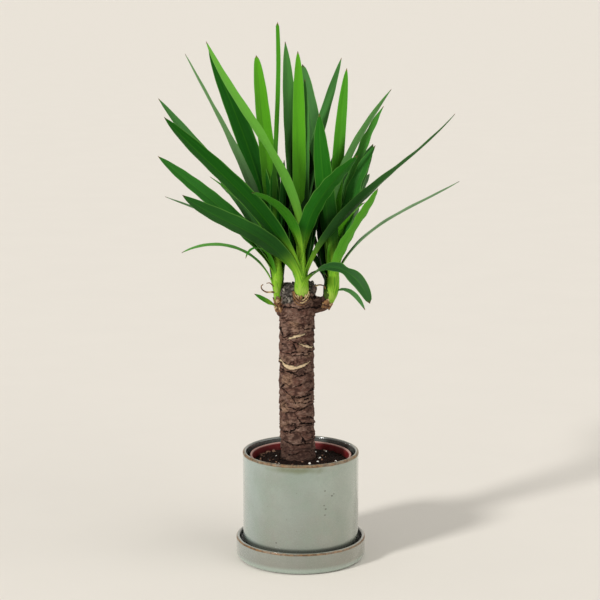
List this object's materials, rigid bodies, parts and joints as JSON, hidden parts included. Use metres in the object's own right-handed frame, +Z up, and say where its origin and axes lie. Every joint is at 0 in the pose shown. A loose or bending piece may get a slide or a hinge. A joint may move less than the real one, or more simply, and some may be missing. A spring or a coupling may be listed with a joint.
{
  "type": "potted yucca",
  "caption": "Yucca with tufts of sword-shaped leaves on a thick cut cane, growing in a plastic pot that stands in a round glazed planter with a saucer.",
  "frame": {"origin": "middle of the saucer's flat underside, on the surface that the plant stands on", "axes": "+Z up along the planter's axis, -Y towards the viewer of the picture, +X to the viewer's right"},
  "size_m": [0.3695, 0.2793, 0.6639],
  "materials": {
    "saucer_glaze": "gloss",
    "celadon_glaze": "gloss",
    "terracotta_plastic": "satin",
    "potting_soil": "matte",
    "bark": "matte",
    "leaf": "satin"
  },
  "bodies": {
    "root": {"saucer": "saucer_glaze", "planter": "celadon_glaze", "nursery_pot": "terracotta_plastic", "soil": "potting_soil", "cane": "bark", "shoot_centre": "leaf", "shoot_left": "leaf", "shoot_right": "leaf"}
  },
  "joints": []
}
